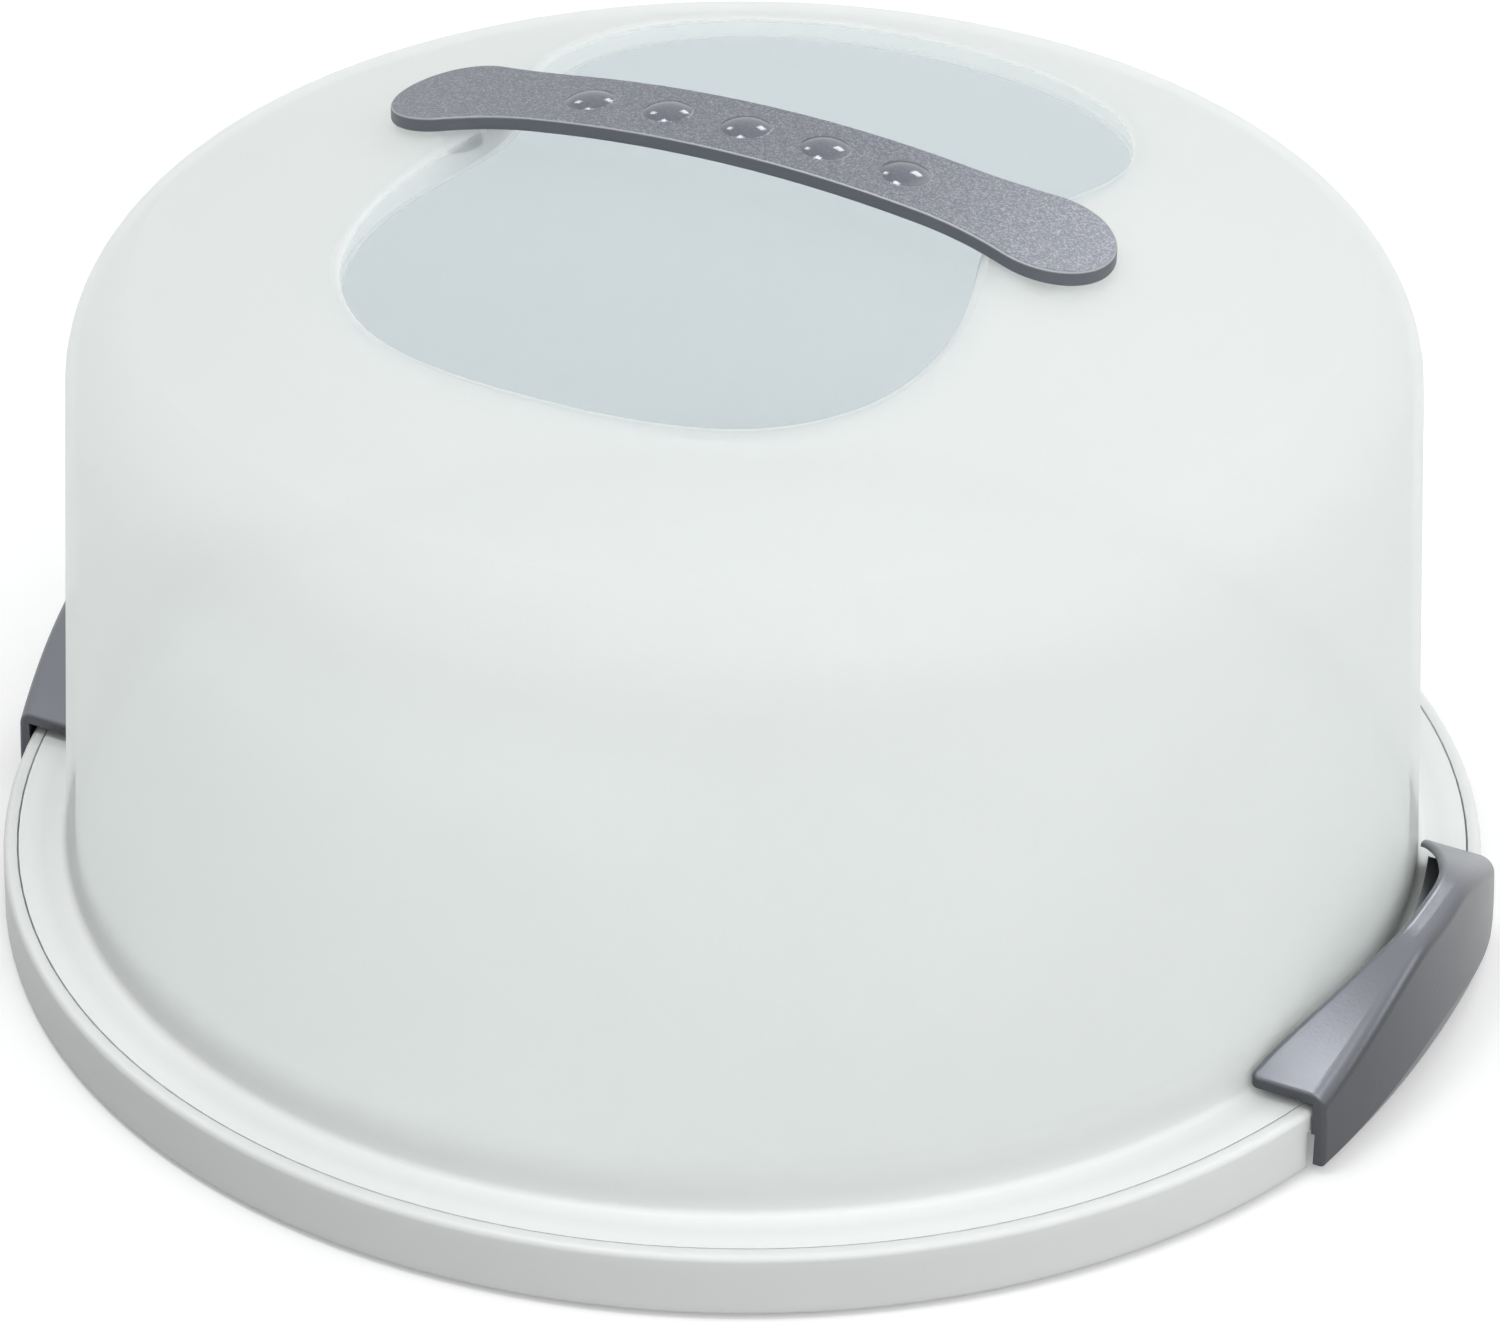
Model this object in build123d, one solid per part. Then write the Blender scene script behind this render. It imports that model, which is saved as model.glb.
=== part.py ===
"""Round cake carrier: a tray, a lift-off domed cover with a sunk clear window, a strap
handle snapped onto the cover, and two hinged side latches that hook over its flange.

Frame: +Z up, +X towards one latch (the handle lies along X), origin at the centre of the
footprint, on the surface that the tray stands on. Lengths are millimetres.
"""
from build123d import *
from math import asin, cos, degrees, pi, radians, sin, sqrt, tan
import os

# ---- tray ------------------------------------------------------------------------------
FOOT_HEIGHT = 1.5            # the foot ring holds the skirt this far above the table
RIM_RADIUS = 158.75          # 12 1/2 in across the rim
SKIRT_RADIUS = 159.2         # lower edge of the skirt, with a little draft
SKIRT_HEIGHT = 13.1
SKIRT_WALL = 2.2
RIM_ROUND = 1.3
PLATE_THICKNESS = 2.4
LOCATING_RING_RADIUS = 142.8
LOCATING_RING_WIDTH = 2.2
LOCATING_RING_HEIGHT = 3.5
FOOT_RING_RADIUS = 114.0
INNER_RING_RADIUS = 60.0
RING_WIDTH = 3.0
HUB_RADIUS = 18.0
RIB_COUNT = 12
RIB_THICKNESS = 2.0
RIB_CLEARANCE = 6.0          # ribs end this far above the lower edge of the skirt

# ---- cover -----------------------------------------------------------------------------
COVER_WALL = 2.0
FLANGE_RADIUS = 155.5
BEAD_GAP = 0.4               # between the flange and the raised bead around it
COVER_FOOT_RADIUS = 145.4    # outside of the wall where it meets the flange
WALL_DRAFT = radians(3.37)
SHOULDER_RADIUS = 23.3
SHOULDER_HEIGHT = 122.6      # centre of the shoulder arc above the skirt's lower edge
CROWN_RADIUS = 301.5
FLANGE_ROUND = 1.6

# ---- sunk window: polar outline r = a + b cos 2t + c cos 4t, t from the handle axis ------
WINDOW_MEAN = 77.7
WINDOW_WAIST = -16.2
WINDOW_SQUARENESS = -6.15
WINDOW_POINTS = 24
WINDOW_WALL = 2.0
WINDOW_LIP_ROUND = 1.8
WINDOW_FLOOR_ROUND = 1.6
FLOOR_DROP = 7.9             # window floor below the crown, at the centre
FLOOR_RADIUS = 450.0

# ---- handle ----------------------------------------------------------------------------
HANDLE_TOP = 175.1           # above the skirt's lower edge, at the middle
HANDLE_BEND = 314.0
HANDLE_THICKNESS = 3.2
PADDLE_RADIUS = 14.0
PADDLE_CENTRE = 66.5
STRAP_HALF_WIDTH = 11.1
STRAP_HALF_STRAIGHT = 43.3
NECK_RADIUS = 80.0
BUMP_RADIUS = 5.3
BUMP_HEIGHT = 1.2
BUMP_PITCH = 17.8
BUMP_COUNT = 5
HANDLE_ROUND = 0.6
STUD_OFFSET = 68.0
STUD_RADIUS = 3.0
STUD_FIT = 0.08
BOSS_RADIUS = 6.0
BARB_RADIUS = 4.0
BARB_LENGTH = 2.5

# ---- latches ---------------------------------------------------------------------------
# (distance from the middle, inner edge in X, its height above the skirt's lower edge,
#  fall of the top per mm outwards)
LATCH_LINE = [(0.0, 154.6, 36.2, 0.35), (11.0, 154.1, 36.0, 0.33), (20.0, 151.2, 33.7, 0.27),
              (30.0, 146.6, 29.0, 0.17), (39.0, 141.7, 23.8, 0.10), (47.9, 137.4, 17.5, 0.0)]
# (X in the middle, height above the skirt's lower edge) down the outer face
LATCH_FACE = [(160.7, 37.0), (161.3, 24.0), (162.0, 13.0), (162.4, 5.0), (162.4, 0.8)]
LATCH_BOW_RADIUS = 158.0     # the outer face bows tighter than the rim
# (X in the middle, height above the skirt's lower edge) of the arc that tucks the heel in
LATCH_HEEL = [(158.9, 0.8), (161.0, 5.0), (162.3, 12.0)]
HEEL_BOW_RADIUS = 286.0
HEEL_SKIN = 2.1
HEEL_GAP = 0.5               # under the rim
LATCH_HALF_LENGTH = 47.9
LATCH_WALL_RADIUS = 159.3    # inner face, just outside the rim
LATCH_SKIN = 2.2
CREST_X = 157.2              # the top's outer edge lies beyond this
LATCH_CREST_ROUND = 4.0
LATCH_ROUND = 1.2
HOOK_CORNER = 1.6
HOOK_INNER_RADIUS = 147.5
HOOK_BEAD_RADIUS = 154.1
HOOK_HEIGHT = 15.9
HOOK_HALF_LENGTH = 44.5
HOOK_GAP = 0.3
CHANNEL_HEIGHT = 14.6
HINGE_X = 155.6
HINGE_HEIGHT = 3.8
KNUCKLE_RADIUS = 2.5
KNUCKLE_CENTRE = 13.0
KNUCKLE_WIDTH = 6.0
PIN_RADIUS = 1.3
PIN_FIT = 0.06
LUG_WIDTH = 3.5
LUG_GAP = 0.3
LUG_FRONT = 155.6
LUG_CLEARANCE = 0.6
POCKET_BACK_RADIUS = 151.5
POCKET_END_GAP = 0.4
POCKET_WALL = 2.0

# ---- worked out ------------------------------------------------------------------------
SKIRT_Z = FOOT_HEIGHT
RIM_Z = SKIRT_Z + SKIRT_HEIGHT
FLANGE_TOP = RIM_Z - 0.1
SEAT_Z = FLANGE_TOP - COVER_WALL
PLATE_UNDER = SEAT_Z - PLATE_THICKNESS
BEAD_RADIUS = FLANGE_RADIUS + BEAD_GAP
SHOULDER_Z = SKIRT_Z + SHOULDER_HEIGHT
WALL_TOP_RADIUS = COVER_FOOT_RADIUS - (SHOULDER_Z - FLANGE_TOP) * tan(WALL_DRAFT)
SHOULDER_X = WALL_TOP_RADIUS - SHOULDER_RADIUS / cos(WALL_DRAFT)
CROWN_CENTRE_Z = SHOULDER_Z - sqrt((CROWN_RADIUS - SHOULDER_RADIUS) ** 2 - SHOULDER_X ** 2)
CROWN_Z = CROWN_CENTRE_Z + CROWN_RADIUS
HANDLE_CENTRE_Z = SKIRT_Z + HANDLE_TOP - HANDLE_BEND
STUD_TILT = asin(STUD_OFFSET / HANDLE_BEND)
HINGE_Z = SKIRT_Z + HINGE_HEIGHT
OVER = 400.0                 # longer than the whole part, for cutting tools


def face_of(plane, *curves):
    """A flat face from curves that join end to end on a plane."""
    edges = [edge for curve in curves for edge in (plane * curve).edges()]
    return make_face(edges)


def prism(plane, length, *curves):
    """A closed outline on a plane, extruded along the plane's normal."""
    return extrude(face_of(plane, *curves), length, dir=plane.z_dir)


def revolved(*curves):
    """A solid of revolution about Z from a closed outline of (radius, height)."""
    return revolve(face_of(Plane.XZ, *curves), Axis.Z)


def ring(inner, outer, low, high):
    """A plain ring about Z."""
    corners = [(inner, low), (outer, low), (outer, high), (inner, high)]
    return revolved(Polyline(*corners, close=True))


def disc(radius, low, high):
    """A plain cylinder about Z."""
    return Pos(0, 0, (low + high) / 2) * Cylinder(radius, high - low)


def block(x_range, y_range, z_range):
    """A box from its lowest and highest values along each axis."""
    size = [high - low for low, high in (x_range, y_range, z_range)]
    centre = [(high + low) / 2 for low, high in (x_range, y_range, z_range)]
    return Pos(*centre) * Box(*size)


def bar(radius, x, z, y_low, y_high):
    """A cylinder along Y."""
    return Pos(x, (y_low + y_high) / 2, z) * Rot(90, 0, 0) * Cylinder(radius, y_high - y_low)


def circles_at(solid, radius, height):
    """The circular edges about Z with this radius and height."""
    near = 0.02
    found = solid.edges().filter_by(GeomType.CIRCLE)
    return [e for e in found
            if abs(e.radius - radius) < near and abs(e.center().Z - height) < near]


# ---- tray ------------------------------------------------------------------------------
def tray_shell():
    """Skirt, rim bead, plate with its rebate for the flange, and the locating ring."""
    skirt_inner = SKIRT_RADIUS - SKIRT_WALL
    outline = [(0, PLATE_UNDER), (skirt_inner - 0.4, PLATE_UNDER), (skirt_inner, SKIRT_Z),
               (SKIRT_RADIUS, SKIRT_Z), (RIM_RADIUS, RIM_Z), (BEAD_RADIUS, RIM_Z),
               (BEAD_RADIUS, SEAT_Z), (0, SEAT_Z)]
    shell = revolved(Polyline(*outline, close=True))
    shell = fillet(circles_at(shell, RIM_RADIUS, RIM_Z), RIM_ROUND)
    top = SEAT_Z + LOCATING_RING_HEIGHT
    locating = ring(LOCATING_RING_RADIUS - LOCATING_RING_WIDTH, LOCATING_RING_RADIUS,
                    PLATE_UNDER, top)
    return shell + chamfer(circles_at(locating, LOCATING_RING_RADIUS, top), 0.8)


def tray_underside():
    """Foot ring, inner ring, hub and radial ribs."""
    rib_low = SKIRT_Z + RIB_CLEARANCE
    under = ring(FOOT_RING_RADIUS - RING_WIDTH, FOOT_RING_RADIUS, 0, SEAT_Z)
    under += ring(INNER_RING_RADIUS - RING_WIDTH, INNER_RING_RADIUS, rib_low, SEAT_Z)
    under += ring(HUB_RADIUS - RING_WIDTH, HUB_RADIUS, rib_low, SEAT_Z)
    reach = SKIRT_RADIUS - SKIRT_WALL / 2
    half = RIB_THICKNESS / 2
    rib = block((HUB_RADIUS - RING_WIDTH / 2, reach), (-half, half), (rib_low, SEAT_Z))
    for index in range(RIB_COUNT):
        under += Rot(0, 0, (index + 0.5) * 360 / RIB_COUNT) * rib
    return under


def pocket(grow):
    """The space behind one latch, below the rim; grow adds the thickness of its walls."""
    half = LATCH_HALF_LENGTH + POCKET_END_GAP + grow
    space = ring(POCKET_BACK_RADIUS - grow, RIM_RADIUS + OVER, SKIRT_Z - OVER, PLATE_UNDER)
    return space & block((0, OVER), (-half, half), (-OVER, OVER))


def lug_spans():
    """Where the hinge lugs stand along Y, one on each side of each knuckle."""
    offset = (KNUCKLE_WIDTH + LUG_WIDTH) / 2 + LUG_GAP
    centres = [side * KNUCKLE_CENTRE + step
               for side in (-1, 1) for step in (-offset, offset)]
    return [(centre - LUG_WIDTH / 2, centre + LUG_WIDTH / 2) for centre in centres]


def hinge_lugs():
    """Four lugs under the rim that carry the pins of one latch."""
    lugs = []
    for span in lug_spans():
        web = block((POCKET_BACK_RADIUS - POCKET_WALL, LUG_FRONT), span, (HINGE_Z, SEAT_Z))
        lug = web + bar(KNUCKLE_RADIUS, HINGE_X, HINGE_Z, *span)
        lugs.append(lug - bar(PIN_RADIUS + PIN_FIT, HINGE_X, HINGE_Z, -OVER, OVER))
    return lugs


def make_tray():
    """The whole tray, one moulding."""
    shell = tray_shell()
    envelope = disc(SKIRT_RADIUS - SKIRT_WALL / 2, SKIRT_Z, SEAT_Z)
    tray = shell + tray_underside()
    for turn in (0, 180):
        spin = Rot(0, 0, turn)
        tray += spin * (pocket(POCKET_WALL) & envelope)
        tray -= spin * pocket(0)
        for lug in hinge_lugs():
            tray += spin * lug
    return tray


# ---- cover -----------------------------------------------------------------------------
def dome(inset):
    """The solid dome under the cover's skin, drawn in by inset from the outer face."""
    shoulder = SHOULDER_RADIUS - inset
    crown = CROWN_RADIUS - inset
    wall_side = (SHOULDER_X + shoulder * cos(WALL_DRAFT), SHOULDER_Z + shoulder * sin(WALL_DRAFT))
    lean = asin(SHOULDER_X / (CROWN_RADIUS - SHOULDER_RADIUS))
    crown_side = (crown * sin(lean), CROWN_CENTRE_Z + crown * cos(lean))
    half = lean / 2
    crown_mid = (crown * sin(half), CROWN_CENTRE_Z + crown * cos(half))
    turn = (pi / 2 - lean + WALL_DRAFT) / 2
    shoulder_mid = (SHOULDER_X + shoulder * cos(turn), SHOULDER_Z + shoulder * sin(turn))
    foot = wall_side[0] + (wall_side[1] - SEAT_Z) * tan(WALL_DRAFT)
    top = (0, CROWN_CENTRE_Z + crown)
    return revolved(Polyline(top, (0, SEAT_Z), (foot, SEAT_Z), wall_side),
                    ThreePointArc(wall_side, shoulder_mid, crown_side),
                    ThreePointArc(crown_side, crown_mid, top))


def window_prism(grow):
    """A tall prism with the window's outline, grown outwards."""
    points = []
    for index in range(WINDOW_POINTS):
        t = 2 * pi * index / WINDOW_POINTS
        r = WINDOW_MEAN + grow + WINDOW_WAIST * cos(2 * t) + WINDOW_SQUARENESS * cos(4 * t)
        points.append((r * cos(t), r * sin(t)))
    return prism(Plane.XY.offset(SHOULDER_Z), OVER / 2, Spline(*points, periodic=True))


def floor_ball(inset):
    """The ball whose top is the window floor, drawn in by inset."""
    centre = CROWN_Z - FLOOR_DROP - FLOOR_RADIUS
    return Pos(0, 0, centre) * Sphere(FLOOR_RADIUS - inset)


def stud(radius, low, high):
    """A round peg square to the handle at +X, between two distances from its bend centre."""
    peg = Pos(0, 0, (low + high) / 2) * Cylinder(radius, high - low)
    return Pos(0, 0, HANDLE_CENTRE_Z) * Rot(0, degrees(STUD_TILT), 0) * peg


def both_ends(solid):
    """A solid and its copy turned half round about Z."""
    return solid + Rot(0, 0, 180) * solid


def window_edges(solid):
    """The lip and the foot of the window's wall: its two closed spline edges."""
    splines = solid.edges().filter_by(GeomType.BSPLINE).filter_by(lambda e: e.is_closed)
    return splines.sort_by(lambda e: -e.bounding_box().max.Z)


def cover_outside():
    """The cover as a filled solid, with the window sunk into its crown."""
    outside = dome(0) + disc(FLANGE_RADIUS, SEAT_Z, FLANGE_TOP)
    outside = fillet(circles_at(outside, COVER_FOOT_RADIUS, FLANGE_TOP), FLANGE_ROUND)
    outside -= window_prism(0) - floor_ball(0)
    outside = fillet(window_edges(outside)[-1], WINDOW_FLOOR_ROUND)
    return fillet(window_edges(outside)[0], WINDOW_LIP_ROUND)


def make_cover():
    """The whole cover: flange, wall, crown and sunk window, one moulding."""
    well_under = window_prism(WINDOW_WALL) - floor_ball(COVER_WALL)
    cover = cover_outside() - (dome(COVER_WALL) - well_under)
    hole = stud(STUD_RADIUS + STUD_FIT, HANDLE_BEND - OVER / 10, HANDLE_BEND)
    return cover - both_ends(hole)


# ---- handle ----------------------------------------------------------------------------
def strap_prism():
    """The strap seen from above: straight grip, flared necks and round paddle ends."""
    x, y = STRAP_HALF_STRAIGHT, STRAP_HALF_WIDTH
    reach = sqrt((NECK_RADIUS + PADDLE_RADIUS) ** 2 - (NECK_RADIUS + y) ** 2)
    blend = PADDLE_RADIUS / (NECK_RADIUS + PADDLE_RADIUS)
    neck = x + reach * (1 - blend)
    neck_y = (NECK_RADIUS + y) * blend
    end = x + reach + PADDLE_RADIUS
    return prism(Plane.XY.offset(SHOULDER_Z), OVER, Line((-x, y), (x, y)),
                 TangentArc((x, y), (neck, neck_y), tangent=(1, 0)),
                 ThreePointArc((neck, neck_y), (end, 0), (neck, -neck_y)),
                 TangentArc((x, -y), (neck, -neck_y), tangent=(1, 0)),
                 Line((x, -y), (-x, -y)),
                 TangentArc((-x, -y), (-neck, -neck_y), tangent=(-1, 0)),
                 ThreePointArc((-neck, -neck_y), (-end, 0), (-neck, neck_y)),
                 TangentArc((-x, y), (-neck, neck_y), tangent=(-1, 0)))


def make_handle():
    """The whole handle: bent strap, five grip bumps and two snap studs."""
    sweep = Pos(0, 0, HANDLE_CENTRE_Z) * Rot(90, 0, 0)
    bend = Cylinder(HANDLE_BEND, OVER) - Cylinder(HANDLE_BEND - HANDLE_THICKNESS, OVER)
    strap = strap_prism() & (sweep * bend)
    upper = [e for e in strap.edges() if e.center().Z > SHOULDER_Z]
    strap = fillet(upper, HANDLE_ROUND)
    ball = (BUMP_RADIUS ** 2 + BUMP_HEIGHT ** 2) / (2 * BUMP_HEIGHT)
    for index in range(BUMP_COUNT):
        tilt = (index - (BUMP_COUNT - 1) / 2) * BUMP_PITCH / HANDLE_BEND
        bump = Pos(0, 0, HANDLE_BEND + BUMP_HEIGHT - ball) * Sphere(ball)
        bump &= Pos(0, 0, HANDLE_BEND) * Cylinder(BUMP_RADIUS * 2, HANDLE_THICKNESS)
        strap += Pos(0, 0, HANDLE_CENTRE_Z) * Rot(0, degrees(tilt), 0) * bump
    under = HANDLE_BEND - HANDLE_THICKNESS
    middle = HANDLE_BEND - HANDLE_THICKNESS / 2
    boss = stud(BOSS_RADIUS, under - OVER / 10, middle) - dome(0)
    tip = under - 2 * COVER_WALL - BARB_LENGTH
    peg = stud(STUD_RADIUS, tip, middle)
    barb = stud(BARB_RADIUS, tip - BARB_LENGTH, tip + BARB_LENGTH) & dome(COVER_WALL)
    return strap + both_ends(boss) + both_ends(peg) + both_ends(barb)


# ---- latches ---------------------------------------------------------------------------
def mirrored(values):
    """Values at the distances of the latch line, as points from -Y to +Y."""
    half = [(row[0], value) for row, value in zip(LATCH_LINE, values)]
    return [(-y, value) for y, value in reversed(half[1:])] + half


def arch_face(x, lower):
    """The section under the lever's top at one X, lowered by a given amount."""
    heights = [SKIRT_Z + edge + fall * (edge_x - x) - lower
               for _, edge_x, edge, fall in LATCH_LINE]
    points = mirrored(heights)
    floor = [points[-1], (points[-1][0], -1.0), (points[0][0], -1.0), points[0]]
    return face_of(Plane.YZ.offset(x), Spline(*points), Polyline(*floor))


def under_arch(lower):
    """Everything under the lever's arched top, which falls away outwards."""
    near_x = HOOK_INNER_RADIUS - 15.0
    far_x = LATCH_FACE[0][0] + 5.0
    return loft([arch_face(near_x, lower), arch_face(far_x, lower)], ruled=True)


def inner_edge_prism():
    """Everything outside the inner edge of the lever's top."""
    points = [(x, y) for y, x in mirrored([row[1] for row in LATCH_LINE])]
    far = [points[-1], (OVER, points[-1][1]), (OVER, points[0][1]), points[0]]
    return prism(Plane.XY, OVER, Spline(*points), Polyline(*far))


def bowed_block():
    """A block whose outer face is the lever's bulging outer face."""
    bow_x = max(x for x, _ in LATCH_FACE) - LATCH_BOW_RADIUS
    face = [(x - bow_x, SKIRT_Z + height) for x, height in LATCH_FACE]
    back = [face[-1], (0, face[-1][1]), (0, face[0][1]), face[0]]
    return Pos(bow_x, 0, 0) * revolved(Spline(*face), Polyline(*back))


def tucked_heel():
    """A flatter bowed block that tucks the middle of the lever's heel in."""
    bow_x = LATCH_HEEL[0][0] - HEEL_BOW_RADIUS
    arc = [(x - bow_x, SKIRT_Z + height) for x, height in LATCH_HEEL]
    low, high = arc[0], arc[-1]
    rest = [high, (OVER, high[1]), (OVER, OVER), (0, OVER), (0, low[1]), low]
    return Pos(bow_x, 0, 0) * revolved(ThreePointArc(*arc), Polyline(*rest))


def hook_corners(solid):
    """The upright edges at the two inner tips of the lever's top."""
    return [e for e in solid.edges().filter_by(Axis.Z)
            if e.center().X < HOOK_BEAD_RADIUS - HOOK_CORNER * 2
            and abs(abs(e.center().Y) - LATCH_HALF_LENGTH) < 0.01]


def lever_top(solid):
    """The lever's arched top face."""
    return max(solid.faces(), key=lambda f: f.area * max(f.normal_at().Z, 0))


def outer_side(edge):
    """True for an edge of the lever's top that runs along its outer face."""
    return edge.length > LATCH_HALF_LENGTH and edge.position_at(0.5).X > CREST_X


def latch_outside():
    """The lever's outer shape, before it is hollowed."""
    solid = bowed_block() & under_arch(0) & inner_edge_prism()
    solid = fillet(lever_top(solid).edges().filter_by(outer_side), LATCH_CREST_ROUND)
    solid = fillet(hook_corners(solid), HOOK_CORNER)
    rest = [e for e in lever_top(solid).edges() if not outer_side(e)]
    return fillet(rest, LATCH_ROUND) & tucked_heel()


def hook_lip():
    """The ledge under the arch that grips the flange, stepped up over the rim's bead."""
    half = HOOK_HALF_LENGTH
    wall = LATCH_WALL_RADIUS
    lip = ring(HOOK_INNER_RADIUS, wall + 1, FLANGE_TOP + HOOK_GAP, SKIRT_Z + HOOK_HEIGHT)
    lip -= ring(HOOK_BEAD_RADIUS, wall, FLANGE_TOP, SKIRT_Z + CHANNEL_HEIGHT)
    return lip & block((0, OVER), (-half, half), (0, OVER))


def latch_hollow():
    """The space inside the lever: round the rim, and behind the heel below the rim."""
    heel_high = PLATE_UNDER - HEEL_GAP
    bow_x = LATCH_HEEL[0][0] - HEEL_BOW_RADIUS
    behind_heel = Pos(bow_x, 0, 0) * disc(HEEL_BOW_RADIUS - HEEL_SKIN, -1.0, heel_high)
    round_rim = disc(LATCH_WALL_RADIUS, heel_high, OVER)
    return (behind_heel + round_rim) & under_arch(LATCH_SKIN)


def make_latch():
    """One lever at +X: curved wall, hook lip, knuckles and stub pins."""
    lever = latch_outside() - latch_hollow() + hook_lip()
    reach = KNUCKLE_RADIUS + LUG_CLEARANCE
    for low, high in lug_spans():
        lever -= bar(reach, HINGE_X, HINGE_Z, low - LUG_GAP, high + LUG_GAP)
    half = KNUCKLE_WIDTH / 2
    pin_half = half + LUG_GAP + LUG_WIDTH
    for centre in (-KNUCKLE_CENTRE, KNUCKLE_CENTRE):
        lever += bar(KNUCKLE_RADIUS, HINGE_X, HINGE_Z, centre - half, centre + half)
        lever += bar(PIN_RADIUS, HINGE_X, HINGE_Z, centre - pin_half, centre + pin_half)
    return lever


# ---- write one file per piece --------------------------------------------------------------
os.makedirs("parts", exist_ok=True)
latch = make_latch()
pieces = {
    "base_tray": make_tray(),
    "cover": make_cover(),
    "handle": make_handle(),
    "latch_right": latch,
    "latch_left": Rot(0, 0, 180) * latch,
}
for name, piece in pieces.items():
    solids = piece.solids()
    box = piece.bounding_box()
    print(name, len(solids), "solid", [round(v, 2) for v in (*box.min, *box.max)])
    export_step(piece, f"parts/{name}.step")
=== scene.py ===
# %% [markdown]
# # A cake carrier, dressed piece by piece
# The carrier is five mouldings: a white tray, a frosted cover with a clear window sunk into
# its crown, a flecked grey strap handle, and two satin grey side latches. The shapes come
# packed from the CAD model, so this lesson is about finishes, light and the camera. Each
# finish is made of shader nodes, and depends only on where a point lies on its piece and
# which way the surface faces there.

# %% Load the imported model
import math

import bpy
from mathutils import Matrix, Vector

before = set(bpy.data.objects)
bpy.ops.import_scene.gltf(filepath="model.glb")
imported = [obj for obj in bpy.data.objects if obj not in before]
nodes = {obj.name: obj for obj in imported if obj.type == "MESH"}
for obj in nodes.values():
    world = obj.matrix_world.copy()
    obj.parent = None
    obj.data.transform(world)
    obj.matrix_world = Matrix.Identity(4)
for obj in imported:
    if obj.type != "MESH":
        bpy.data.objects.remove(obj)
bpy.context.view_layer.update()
MM = 0.001
print("pieces:", sorted(nodes))

# %% [markdown]
# ## The camera
# A long lens from just over a metre keeps the tray's ellipse calm. The camera looks at the
# middle of the cover from a little to one side of the handle, about a third of the way up
# from level, and is tilted by a fraction of a degree. The turn about Z is written as an
# azimuth, so that the same numbers could aim a turntable.

# %% Camera
VIEW_AZIMUTH = math.radians(26.9)
VIEW_ELEVATION = 0.561066    # radians
VIEW_ROLL = 0.00550597       # radians
VIEW_DISTANCE = 1171.236 * MM
AIM_ASIDE = 1.4178 * MM
AIM_HEIGHT = 48.58125 * MM
FOCAL_PIXELS = 5502.211      # the focal length, in pixels of the picture
PICTURE_WIDTH = 1500
SENSOR_WIDTH = 36.0          # millimetres, as Blender's lens is


def camera_axes(azimuth, elevation, roll):
    """The camera's right, up and backward directions."""
    turn = Matrix.Rotation(azimuth, 3, "Z")
    right = turn @ Vector((1, 0, 0))
    up = turn @ Vector((0, math.sin(elevation), math.cos(elevation)))
    back = turn @ Vector((0, -math.cos(elevation), math.sin(elevation)))
    rolled_right = right * math.cos(roll) + up * math.sin(roll)
    rolled_up = up * math.cos(roll) - right * math.sin(roll)
    return rolled_right, rolled_up, back


def make_camera():
    """A camera that looks back along its own backward direction at the aim point."""
    right, up, back = camera_axes(VIEW_AZIMUTH, VIEW_ELEVATION, VIEW_ROLL)
    aim = Matrix.Rotation(VIEW_AZIMUTH, 3, "Z") @ Vector((AIM_ASIDE, 0, 0))
    aim.z = AIM_HEIGHT
    place = Matrix((right, up, back)).transposed().to_4x4()
    place.translation = aim + back * VIEW_DISTANCE
    data = bpy.data.cameras.new("camera")
    data.sensor_fit = "HORIZONTAL"
    data.sensor_width = SENSOR_WIDTH
    data.lens = FOCAL_PIXELS * SENSOR_WIDTH / PICTURE_WIDTH
    camera = bpy.data.objects.new("camera", data)
    camera.matrix_world = place
    bpy.context.scene.collection.objects.link(camera)
    bpy.context.scene.camera = camera
    return camera


camera = make_camera()
print("lens", round(camera.data.lens, 2), "mm at", [round(v, 3) for v in camera.location])

# %% [markdown]
# ## Helpers
# The world, the floor and every finish are trees of nodes, so a few helpers come first.
# Each takes plain values or the outputs of other nodes, and links an output where it gets
# one.

# %% A few helpers for node trees
def new_tree(material):
    """Empties a material's node tree and returns it."""
    material.use_nodes = True
    material.node_tree.nodes.clear()
    return material.node_tree


def give(tree, socket, value):
    """Sets an input socket to a value, or links another node's output to it."""
    if isinstance(value, bpy.types.NodeSocket):
        tree.links.new(value, socket)
    else:
        socket.default_value = value


def add(tree, kind, **inputs):
    """Adds a node and gives its inputs, named with underscores for spaces."""
    node = tree.nodes.new(kind)
    for name, value in inputs.items():
        give(tree, node.inputs[name.replace("_", " ")], value)
    return node


def maths(tree, operation, *values, clamp=False):
    """A Math node on one to three values; returns its result socket."""
    node = tree.nodes.new("ShaderNodeMath")
    node.operation = operation
    node.use_clamp = clamp
    for socket, value in zip(node.inputs, values):
        give(tree, socket, value)
    return node.outputs[0]


def show(tree, shader, output="ShaderNodeOutputMaterial"):
    """Links the last shader to the tree's output node, which is a material's by default."""
    out = tree.nodes.new(output)
    tree.links.new(shader.outputs[0], out.inputs["Surface"])


print("node helpers ready")

# %% Helpers that mix
def mixed(tree, kind, sockets, values):
    """A Mix node of one kind, with its factor and two inputs given by socket number."""
    node = tree.nodes.new("ShaderNodeMix")
    node.data_type = kind
    for number, value in zip(sockets, values):
        give(tree, node.inputs[number], value)
    return node


def mixed_colour(tree, factor, first, second):
    """A mix of two colours by a factor; returns the colour socket."""
    return mixed(tree, "RGBA", (0, 6, 7), (factor, first, second)).outputs[2]


def mixed_value(tree, factor, first, second):
    """A mix of two numbers by a factor; returns the value socket."""
    return mixed(tree, "FLOAT", (0, 2, 3), (factor, first, second)).outputs[0]


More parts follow.
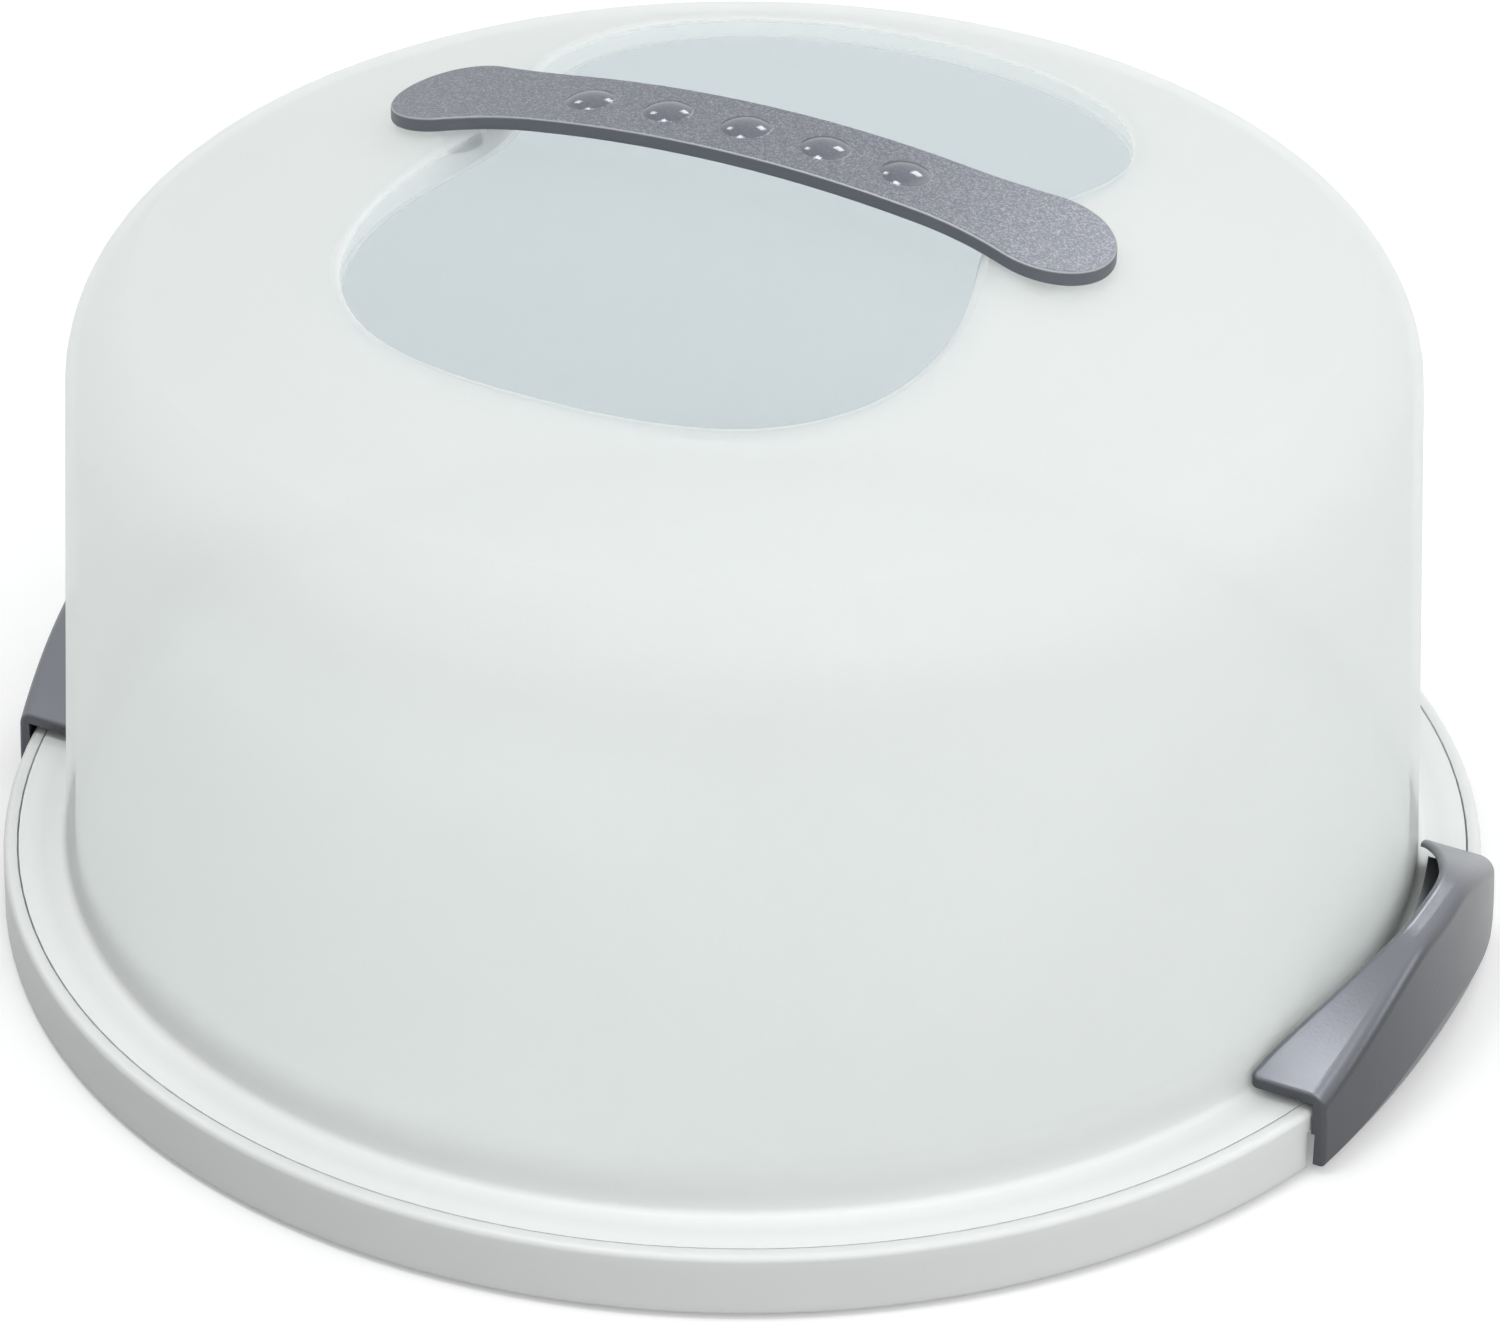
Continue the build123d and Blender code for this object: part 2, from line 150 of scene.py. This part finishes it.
def mixed_shader(tree, factor, first, second):
    """A mix of two shaders by a factor; returns the shader socket."""
    node = tree.nodes.new("ShaderNodeMixShader")
    for socket, value in zip(node.inputs, (factor, first.outputs[0], second.outputs[0])):
        give(tree, socket, value)
    return node


print("mixing helpers ready")

# %% [markdown]
# ## Light and floor
# White and near-white plastic only shows its shape if the light comes unevenly. So the room
# is brighter on one side, a big soft lamp stands high at the front, and a card fills in
# from the bright side. A small lamp above gives the latches their sheen, and two behind put
# a glint on each side of the handle's domes. The floor is pale and shows as white to the
# camera, but it is darker to bounced light, so that the tray's skirt keeps its shade.

# %% World
WORLD_LEVEL = 0.47           # the room's strength in the middle
WORLD_SLOPE = 0.30           # and how much it gains to the camera's right
ROOM_COLOUR = (0.985, 0.99, 1.0, 1)
WHITE = (1, 1, 1, 1)


def seen_directly(tree):
    """1 for rays from the camera, from mirrored views and through clear surfaces."""
    path = tree.nodes.new("ShaderNodeLightPath")
    glossy = maths(tree, "MAXIMUM", path.outputs["Is Glossy Ray"],
                   path.outputs["Is Transmission Ray"])
    return maths(tree, "MAXIMUM", path.outputs["Is Camera Ray"], glossy)


def world_strength(tree):
    """Light that grows evenly from one side of the room to the other."""
    turn = Matrix.Rotation(VIEW_AZIMUTH, 3, "Z")
    direction = tree.nodes.new("ShaderNodeTexCoord").outputs["Generated"]
    across = tree.nodes.new("ShaderNodeVectorMath")
    across.operation = "DOT_PRODUCT"
    tree.links.new(direction, across.inputs[0])
    across.inputs[1].default_value = turn @ Vector((1, 0, 0))
    return maths(tree, "MULTIPLY_ADD", across.outputs["Value"], WORLD_SLOPE, WORLD_LEVEL)


def make_world():
    """A soft room, bright on one side, that the camera and mirrors see as plain white."""
    world = bpy.data.worlds.new("studio")
    bpy.context.scene.world = world
    world.use_nodes = True
    tree = world.node_tree
    tree.nodes.clear()
    seen = seen_directly(tree)
    lit = add(tree, "ShaderNodeBackground", Color=ROOM_COLOUR,
              Strength=world_strength(tree))
    white = add(tree, "ShaderNodeBackground", Color=WHITE, Strength=1.0)
    show(tree, mixed_shader(tree, seen, lit, white), "ShaderNodeOutputWorld")
    return world


world = make_world()
print("world", world.name)

# %% Lamps
LAMPS_FACE = Vector((0, 0, 80 * MM))


def soft_lamp(name, place, size, power):
    """A rectangular area lamp that faces the carrier, in metres and watts."""
    data = bpy.data.lights.new(name, "AREA")
    data.shape = "RECTANGLE"
    data.size, data.size_y = size
    data.energy = power
    lamp = bpy.data.objects.new(name, data)
    lamp.location = place
    direction = LAMPS_FACE - Vector(place)
    lamp.rotation_euler = direction.to_track_quat("-Z", "Y").to_euler()
    bpy.context.scene.collection.objects.link(lamp)
    return lamp


def round_view(aside, ahead, height):
    """A point given by the camera's own sides: aside to its right, ahead away from it."""
    point = Matrix.Rotation(VIEW_AZIMUTH, 3, "Z") @ Vector((aside, ahead, 0))
    return (point.x, point.y, height)


lamps = [
    soft_lamp("key", round_view(0.30, -1.2, 1.0), (1.2, 1.2), 8.3),
    soft_lamp("card", round_view(1.8, -0.35, 0.45), (0.8, 0.6), 3.2),
    soft_lamp("top", round_view(-0.36, -0.25, 1.5), (0.4, 0.4), 5.6),
    soft_lamp("back_left", round_view(-0.70, 1.07, 1.15), (0.3, 0.35), 2.0),
    soft_lamp("back_right", round_view(0.66, 1.08, 1.12), (0.48, 0.4), 4.2),
]
print("lamps:", [lamp.name for lamp in lamps])

# %% Floor
FLOOR_HALF = 3.0             # metres, as the next lengths are
GLOW_STARTS = 0.5            # from here on the glow grows
GLOW_REACH = 1.5             # until this much further out
NEAR_GLOW = 0.23
FAR_GLOW = 0.42
FLOOR_TO_BOUNCES = (0.33, 0.33, 0.33, 1)
FLOOR_TO_CAMERA = (0.88, 0.88, 0.88, 1)


def floor_finish():
    """Matt pale floor, lifted to white for the camera, more so far from the lamps."""
    material = bpy.data.materials.new("studio_floor")
    tree = new_tree(material)
    seen = seen_directly(tree)
    colour = mixed_colour(tree, seen, FLOOR_TO_BOUNCES, FLOOR_TO_CAMERA)
    matt = add(tree, "ShaderNodeBsdfDiffuse", Color=colour)
    place = tree.nodes.new("ShaderNodeTexCoord").outputs["Object"]
    away = tree.nodes.new("ShaderNodeVectorMath")
    away.operation = "LENGTH"
    tree.links.new(place, away.inputs[0])
    past_start = maths(tree, "SUBTRACT", away.outputs["Value"], GLOW_STARTS)
    far = maths(tree, "DIVIDE", past_start, GLOW_REACH, clamp=True)
    level = mixed_value(tree, far, NEAR_GLOW, FAR_GLOW)
    glow = add(tree, "ShaderNodeEmission", Color=WHITE,
               Strength=maths(tree, "MULTIPLY", seen, level))
    both = tree.nodes.new("ShaderNodeAddShader")
    tree.links.new(matt.outputs[0], both.inputs[0])
    tree.links.new(glow.outputs[0], both.inputs[1])
    show(tree, both)
    return material


def make_floor():
    """A wide flat floor under the carrier."""
    mesh = bpy.data.meshes.new("floor")
    h = FLOOR_HALF
    mesh.from_pydata([(-h, -h, 0), (h, -h, 0), (h, h, 0), (-h, h, 0)], [], [(0, 1, 2, 3)])
    floor = bpy.data.objects.new("floor", mesh)
    bpy.context.scene.collection.objects.link(floor)
    mesh.materials.append(floor_finish())
    return floor


floor = make_floor()
print("floor", FLOOR_HALF * 2, "m wide")

# %% [markdown]
# ## Effects that several plastics share
# Moulded plastic is never quite even: its skin has a very fine grain, and its colour and
# gloss drift a little over some centimetres where the melt flowed. One node group gives
# both, with the sizes of the grain and of the drift as inputs, and each plastic uses it
# with its own values.

# %% The moulded skin group
def group_sockets(group, inputs, outputs):
    """Declares a group's named inputs, with defaults, and its outputs."""
    for name, default in inputs:
        socket = group.interface.new_socket(name, in_out="INPUT",
                                            socket_type="NodeSocketFloat")
        socket.default_value = default
    for name, kind in outputs:
        group.interface.new_socket(name, in_out="OUTPUT", socket_type=kind)


def place_on_piece(tree):
    """Where a point lies on its piece at rest, in metres."""
    return tree.nodes.new("ShaderNodeTexCoord").outputs["Object"]


def moulded_skin_group():
    """Fine grain and slow drift for any moulded plastic, both from 0 to 1."""
    group = bpy.data.node_groups.new("moulded_skin", "ShaderNodeTree")
    group_sockets(group, [("Grain Size", 0.6 * MM), ("Drift Size", 50 * MM)],
                  [("Grain", "NodeSocketFloat"), ("Drift", "NodeSocketFloat")])
    enter = group.nodes.new("NodeGroupInput")
    leave = group.nodes.new("NodeGroupOutput")
    place = place_on_piece(group)
    for name, size, detail in (("Grain", "Grain Size", 2.0), ("Drift", "Drift Size", 3.0)):
        scale = maths(group, "DIVIDE", 1.0, enter.outputs[size])
        noise = add(group, "ShaderNodeTexNoise", Vector=place, Scale=scale, Detail=detail)
        group.links.new(noise.outputs["Fac"], leave.inputs[name])
    return group


moulded_skin = moulded_skin_group()
print("group", moulded_skin.name, [s.name for s in moulded_skin.interface.items_tree])

# %% Placing a group in a material
def use_group(tree, group, **values):
    """A node that uses a group with its own input values."""
    node = tree.nodes.new("ShaderNodeGroup")
    node.node_tree = group
    for name, value in values.items():
        give(tree, node.inputs[name.replace("_", " ")], value)
    return node


def bumped(tree, height, distance, strength=1.0):
    """A normal from a height over the surface, with its depth in metres."""
    return add(tree, "ShaderNodeBump", Height=height, Distance=distance,
               Strength=strength).outputs["Normal"]


def dress(node_name, material):
    """Gives a carried-over CAD node one material."""
    mesh = nodes[node_name].data
    mesh.materials.clear()
    mesh.materials.append(material)


print("group and dressing helpers ready")

# %% [markdown]
# ## The tray: satin white
# The tray is white polypropylene off a polished mould: almost even in colour, with a soft
# gloss that spreads a little, and a trace of grain on the flat parts. A hint of dust-grey
# in the colour drift keeps it from looking like a flat fill. Light also soaks a couple of
# millimetres into it, which softens its edges.

# %% White tray finish
WHITE_IOR = 1.49             # polypropylene
SOAK_SHARE = 0.6             # of the light soaks in
SOAK_DEPTH = 2.0 * MM        # and wanders this far inside the plastic
SOAK_EVENLY = (1.0, 1.0, 1.0)    # the same for red, green and blue
TRAY_DULL = (0.80, 0.825, 0.81, 1)
TRAY_BRIGHT = (0.84, 0.86, 0.85, 1)
TRAY_GLOSS = (0.34, 0.42)    # roughness, where the drift is 0 and 1
TRAY_GRAIN_DEPTH = 0.008 * MM


def white_tray_finish():
    """White moulded polypropylene with a soft gloss."""
    material = bpy.data.materials.new("white_tray")
    tree = new_tree(material)
    skin = use_group(tree, moulded_skin, Grain_Size=1.1 * MM, Drift_Size=60 * MM)
    colour = mixed_colour(tree, skin.outputs["Drift"], TRAY_DULL, TRAY_BRIGHT)
    gloss = mixed_value(tree, skin.outputs["Drift"], *TRAY_GLOSS)
    normal = bumped(tree, skin.outputs["Grain"], TRAY_GRAIN_DEPTH)
    shader = add(tree, "ShaderNodeBsdfPrincipled", Base_Color=colour, Roughness=gloss,
                 Normal=normal, IOR=WHITE_IOR, Subsurface_Weight=SOAK_SHARE,
                 Subsurface_Radius=SOAK_EVENLY, Subsurface_Scale=SOAK_DEPTH)
    show(tree, shader)
    return material


white_tray = white_tray_finish()
dress("base_tray", white_tray)
print("tray dressed in", white_tray.name)

# %% [markdown]
# ## The cover: frosted, with a clear window
# The cover is one moulding of natural polypropylene. Its mould is etched everywhere but on
# the window's floor, so the same plastic comes out frosted round a clear panel. Frosted
# plastic does three things at once: it scatters light back, it lets scattered light
# through, and it lets a little of what is behind show. Three shaders mixed together give
# those three. The window's edge follows the same outline that cuts it in the CAD model: its
# distance from the middle is a + b cos 2t + c cos 4t, t being the angle from the handle.

# %% The window outline group
WINDOW_MEAN = 77.7 * MM
WINDOW_WAIST = -16.2 * MM
WINDOW_SQUARENESS = -6.15 * MM
NEVER_ZERO = 1e-6            # keeps the angle defined in the very middle


def window_outline_group():
    """How far inside the window's outline a point lies, in metres."""
    group = bpy.data.node_groups.new("window_outline", "ShaderNodeTree")
    group_sockets(group, [("Mean", WINDOW_MEAN), ("Waist", WINDOW_WAIST),
                          ("Squareness", WINDOW_SQUARENESS)],
                  [("Inside", "NodeSocketFloat")])
    enter = group.nodes.new("NodeGroupInput")
    leave = group.nodes.new("NodeGroupOutput")
    parts = add(group, "ShaderNodeSeparateXYZ", Vector=place_on_piece(group))
    x2 = maths(group, "POWER", parts.outputs["X"], 2.0)
    y2 = maths(group, "POWER", parts.outputs["Y"], 2.0)
    r2 = maths(group, "MAXIMUM", maths(group, "ADD", x2, y2), NEVER_ZERO)
    cos_2t = maths(group, "DIVIDE", maths(group, "SUBTRACT", x2, y2), r2)
    twice_square = maths(group, "MULTIPLY", maths(group, "POWER", cos_2t, 2.0), 2.0)
    cos_4t = maths(group, "SUBTRACT", twice_square, 1.0)
    waist = maths(group, "MULTIPLY_ADD", cos_2t, enter.outputs["Waist"],
                  enter.outputs["Mean"])
    edge = maths(group, "MULTIPLY_ADD", cos_4t, enter.outputs["Squareness"], waist)
    inside = maths(group, "SUBTRACT", edge, maths(group, "SQRT", r2))
    group.links.new(inside, leave.inputs["Inside"])
    return group


window_outline = window_outline_group()
print("group", window_outline.name)

# %% Where the cover is clear, frosted or white
CLEAR_MARGIN = 0.6 * MM      # the polish runs a little way up the window's lip
CLEAR_EDGE = 0.6 * MM        # and frosted turns to clear over this much
FLANGE_TOP = 14.5 * MM
FLANGE_BLEND = 12.0 * MM     # above it the wall turns from white to frosted
BAND_RADIUS = 150.3 * MM     # a faint darker band round the flange
BAND_HALF_WIDTH = 3.2 * MM


def distance_from_middle(tree, x, y):
    """How far a point lies from the upright axis, from its two coordinates."""
    squares = [maths(tree, "POWER", side, 2.0) for side in (x, y)]
    return maths(tree, "SQRT", maths(tree, "ADD", *squares))


def cover_masks(tree):
    """Masks for the clear window, the wall above the flange, and the flange's band."""
    outline = use_group(tree, window_outline)
    past_edge = maths(tree, "ADD", outline.outputs["Inside"], CLEAR_MARGIN)
    clear = maths(tree, "DIVIDE", past_edge, CLEAR_EDGE, clamp=True)
    parts = add(tree, "ShaderNodeSeparateXYZ", Vector=place_on_piece(tree))
    height = maths(tree, "SUBTRACT", parts.outputs["Z"], FLANGE_TOP)
    above_flange = maths(tree, "DIVIDE", height, FLANGE_BLEND, clamp=True)
    radius = distance_from_middle(tree, parts.outputs["X"], parts.outputs["Y"])
    off_band = maths(tree, "ABSOLUTE", maths(tree, "SUBTRACT", radius, BAND_RADIUS))
    share = maths(tree, "DIVIDE", off_band, BAND_HALF_WIDTH, clamp=True)
    return clear, above_flange, maths(tree, "SUBTRACT", 1.0, share)


print("window edge", CLEAR_EDGE / MM, "mm, band", BAND_HALF_WIDTH * 2 / MM, "mm wide")

# %% Frosted cover finish
FROST_DULL = (0.895, 0.908, 0.902, 1)
FROST_BRIGHT = (0.910, 0.922, 0.917, 1)
FLANGE_WHITE = (0.868, 0.888, 0.875, 1)
FLANGE_BAND = (0.825, 0.855, 0.850, 1)
CLEAR_TINT = (0.835, 0.866, 0.885, 1)
FROST_GLOSS = 0.50
CLEAR_GLOSS = 0.06
FROST_GRAIN_DEPTH = 0.03 * MM
LET_THROUGH = 0.75           # the share of its light that frost scatters through
FROST_VEIL = 0.25            # the share of what lies behind that shows through frost
CLEAR_VEIL = 0.90            # and through the window


def frosted_cover_finish():
    """Frosted polypropylene round a clear window."""
    material = bpy.data.materials.new("frosted_cover")
    tree = new_tree(material)
    skin = use_group(tree, moulded_skin, Grain_Size=0.9 * MM, Drift_Size=70 * MM)
    clear, above_flange, band = cover_masks(tree)
    upper = mixed_colour(tree, skin.outputs["Drift"], FROST_DULL, FROST_BRIGHT)
    flange = mixed_colour(tree, band, FLANGE_WHITE, FLANGE_BAND)
    colour = mixed_colour(tree, above_flange, flange, upper)
    gloss = mixed_value(tree, clear, FROST_GLOSS, CLEAR_GLOSS)
    frosted = maths(tree, "SUBTRACT", 1.0, clear)
    normal = bumped(tree, skin.outputs["Grain"], FROST_GRAIN_DEPTH, frosted)
    skin_shader = add(tree, "ShaderNodeBsdfPrincipled", Base_Color=colour, Roughness=gloss,
                      Normal=normal, IOR=WHITE_IOR)
    through = add(tree, "ShaderNodeBsdfTranslucent", Color=colour, Normal=normal)
    glass = mixed_colour(tree, clear, WHITE, CLEAR_TINT)
    open_air = add(tree, "ShaderNodeBsdfTransparent", Color=glass)

    passed_on = maths(tree, "MULTIPLY", above_flange, LET_THROUGH)
    milky = mixed_shader(tree, passed_on, skin_shader, through)
    veil = maths(tree, "MULTIPLY", above_flange, FROST_VEIL)
    seen_through = mixed_value(tree, clear, veil, CLEAR_VEIL)
    show(tree, mixed_shader(tree, seen_through, milky, open_air))
    return material


frosted_cover = frosted_cover_finish()
dress("cover", frosted_cover)
print("cover dressed in", frosted_cover.name)

# %% [markdown]
# ## The handle: grey with metal flecks
# The strap is grey plastic with fine metal flake in it. Each flake lies at its own angle,
# so from any side some are bright and their neighbours dark. A Voronoi texture has one
# random colour for each cell, which serves as the flake's brightness. The five domes are
# polished, so the flakes fade there and the gloss sharpens, and a bump makes the sides of
# these real shapes look a little steeper. The top is painted lighter than the sides, a
# painted sheen, and the rounded edges between them carry a painted highlight.

# %% The flake group
def facing_up(tree, low, high):
    """0 to 1 as a surface of the piece at rest turns to face up."""
    normal = tree.nodes.new("ShaderNodeTexCoord").outputs["Normal"]
    rise = add(tree, "ShaderNodeSeparateXYZ", Vector=normal).outputs["Z"]
    above = maths(tree, "SUBTRACT", rise, low)
    return maths(tree, "DIVIDE", above, high - low, clamp=True)


def flake_group():
    """Random brightness and a rough height for metal flakes of a given size."""
    group = bpy.data.node_groups.new("metal_flake", "ShaderNodeTree")
    group_sockets(group, [("Flake Size", 0.5 * MM)],
                  [("Brightness", "NodeSocketFloat"), ("Height", "NodeSocketFloat")])
    enter = group.nodes.new("NodeGroupInput")
    leave = group.nodes.new("NodeGroupOutput")
    scale = maths(group, "DIVIDE", 1.0, enter.outputs["Flake Size"])
    place = place_on_piece(group)
    cells = add(group, "ShaderNodeTexVoronoi", Vector=place, Scale=scale)
    value = add(group, "ShaderNodeSeparateColor", Color=cells.outputs["Color"])
    cloud = add(group, "ShaderNodeTexNoise", Vector=place, Scale=scale, Detail=1.0)
    group.links.new(value.outputs["Red"], leave.inputs["Brightness"])
    group.links.new(cloud.outputs["Fac"], leave.inputs["Height"])
    return group


metal_flake = flake_group()
print("group", metal_flake.name)

# %% Where the handle's domes are
DOME_PITCH = 17.8 * MM
DOME_RADIUS = 5.2 * MM
DOMES_EACH_SIDE = 2.0        # of the middle one
DOME_EDGE = 0.06             # the share of the radius over which the polish fades in
CREST_POWER = 4.0            # higher means a flatter top and a steeper side


def dome_shape(tree):
    """A mask for the handle's five domes, and a height that drops at their edges."""
    parts = add(tree, "ShaderNodeSeparateXYZ", Vector=place_on_piece(tree))
    steps = maths(tree, "DIVIDE", parts.outputs["X"], DOME_PITCH)
    nearest = maths(tree, "MAXIMUM", maths(tree, "ROUND", steps), -DOMES_EACH_SIDE)
    nearest = maths(tree, "MINIMUM", nearest, DOMES_EACH_SIDE)
    along = maths(tree, "MULTIPLY", maths(tree, "SUBTRACT", steps, nearest), DOME_PITCH)
    reach = distance_from_middle(tree, along, parts.outputs["Y"])
    share = maths(tree, "DIVIDE", reach, DOME_RADIUS, clamp=True)
    inside = maths(tree, "DIVIDE", maths(tree, "SUBTRACT", 1.0, share), DOME_EDGE,
                   clamp=True)
    return inside, maths(tree, "SUBTRACT", 1.0, maths(tree, "POWER", share, CREST_POWER))


print("domes:", int(2 * DOMES_EACH_SIDE + 1), "at", DOME_PITCH / MM, "mm")

# %% Fleck grey finish
# Painted sheen: the top's flake greys are painted lighter than the side's own grey
SHEEN_FLAKE_DARK = (0.148, 0.157, 0.188, 1)
SHEEN_FLAKE_BRIGHT = (0.30, 0.312, 0.345, 1)
HANDLE_SIDE = (0.112, 0.119, 0.141, 1)
# Painted highlight: the rounded edges between the top and the side are painted lighter
PAINTED_EDGE_HIGHLIGHT = (0.42, 0.435, 0.46, 1)
FEW_BRIGHT = 2.4             # a power that keeps most flakes dark
DOME_FLAKES = 0.25           # how much of the flakes shows on a dome
HANDLE_SHEEN_TURN = (0.45, 0.90)    # how far up a face turns, from the side's grey to all of the top's painted sheen
EDGE_HIGHLIGHT_FROM = (0.25, 0.60)   # the painted edge highlight begins over this turn
EDGE_HIGHLIGHT_TO = (0.75, 0.93)     # and ends over this one
STRAP_GLOSS = 0.42
DOME_GLOSS = 0.12
STRAP_METAL = 0.40
DOME_METAL = 0.20
STRAP_GRAIN = 0.08           # the flakes' height, as a share of the crest's
CREST_DEPTH = 0.5 * MM
GREY_IOR = 1.5


def fleck_grey_finish():
    """Grey plastic with metal flakes, polished on the domes, with a painted sheen on top
    and painted highlights on its rounded edges.
    """
    material = bpy.data.materials.new("fleck_grey")
    tree = new_tree(material)
    flake = use_group(tree, metal_flake, Flake_Size=0.32 * MM)
    dome, crest = dome_shape(tree)
    top = facing_up(tree, *HANDLE_SHEEN_TURN)

    spread = mixed_value(tree, dome, 1.0, DOME_FLAKES)
    few = maths(tree, "POWER", flake.outputs["Brightness"], FEW_BRIGHT)
    bright = maths(tree, "MULTIPLY", few, spread)
    flecked_with_sheen = mixed_colour(tree, bright, SHEEN_FLAKE_DARK, SHEEN_FLAKE_BRIGHT)
    # painted sheen: faces turned up get the lighter top greys, the side keeps its own grey
    plain = mixed_colour(tree, top, HANDLE_SIDE, flecked_with_sheen)
    # painted highlight along the rounded edges between the top and the side
    not_flat = maths(tree, "SUBTRACT", 1.0, facing_up(tree, *EDGE_HIGHLIGHT_TO))
    edge_highlight = maths(tree, "MULTIPLY", facing_up(tree, *EDGE_HIGHLIGHT_FROM), not_flat)
    colour = mixed_colour(tree, edge_highlight, plain, PAINTED_EDGE_HIGHLIGHT)

    gloss = mixed_value(tree, dome, STRAP_GLOSS, DOME_GLOSS)
    strap_metal = maths(tree, "MULTIPLY", top, STRAP_METAL)
    metal = mixed_value(tree, dome, strap_metal, DOME_METAL)
    grain = maths(tree, "MULTIPLY", flake.outputs["Height"],
                  mixed_value(tree, dome, STRAP_GRAIN, 0.0))
    normal = bumped(tree, maths(tree, "ADD", crest, grain), CREST_DEPTH)
    shader = add(tree, "ShaderNodeBsdfPrincipled", Base_Color=colour, Roughness=gloss,
                 Metallic=metal, Normal=normal, IOR=GREY_IOR)
    show(tree, shader)
    return material


fleck_grey = fleck_grey_finish()
dress("handle", fleck_grey)
print("handle dressed in", fleck_grey.name)

# %% [markdown]
# ## The latches: satin grey
# The latches are the same grey without visible flakes. Their tops are much paler than their
# outer faces, for two reasons. The shader is part metal, so a top mirrors the lamp above,
# and a painted sheen makes the colour a lighter grey wherever the piece at rest faces up.
# Fine grain and a slow drift come from the shared group.

# %% Smooth grey finish
LATCH_SIDE_DULL = (0.072, 0.075, 0.086, 1)
LATCH_SIDE_BRIGHT = (0.084, 0.087, 0.098, 1)
# Painted sheen: the top grey is painted lighter than the sides' own grey
LATCH_TOP_PAINTED_SHEEN = (0.205, 0.213, 0.24, 1)
LATCH_GLOSS = (0.29, 0.36)   # roughness, where the drift is 0 and 1
LATCH_SHEEN_TURN = (0.3, 0.8)        # how far up a face turns, from the side's grey to the top's painted sheen
LATCH_GRAIN_DEPTH = 0.03 * MM
LATCH_METAL = 0.55


def smooth_grey_finish():
    """Satin grey plastic, with a painted sheen on faces turned up."""
    material = bpy.data.materials.new("smooth_grey")
    tree = new_tree(material)
    skin = use_group(tree, moulded_skin, Grain_Size=0.7 * MM, Drift_Size=30 * MM)
    top = facing_up(tree, *LATCH_SHEEN_TURN)
    side = mixed_colour(tree, skin.outputs["Drift"], LATCH_SIDE_DULL, LATCH_SIDE_BRIGHT)
    # painted sheen: faces turned up get the lighter top grey
    colour = mixed_colour(tree, top, side, LATCH_TOP_PAINTED_SHEEN)
    gloss = mixed_value(tree, skin.outputs["Drift"], *LATCH_GLOSS)
    normal = bumped(tree, skin.outputs["Grain"], LATCH_GRAIN_DEPTH)
    shader = add(tree, "ShaderNodeBsdfPrincipled", Base_Color=colour, Roughness=gloss,
                 Normal=normal, IOR=GREY_IOR, Metallic=LATCH_METAL)
    show(tree, shader)
    return material


smooth_grey = smooth_grey_finish()
for latch in ("latch_right", "latch_left"):
    dress(latch, smooth_grey)
print("latches dressed in", smooth_grey.name)

# %% [markdown]
# ## Finish
# The view transform stays plain so that a colour shows as it is written.

# %% The view transform
bpy.context.scene.view_settings.view_transform = "Standard"
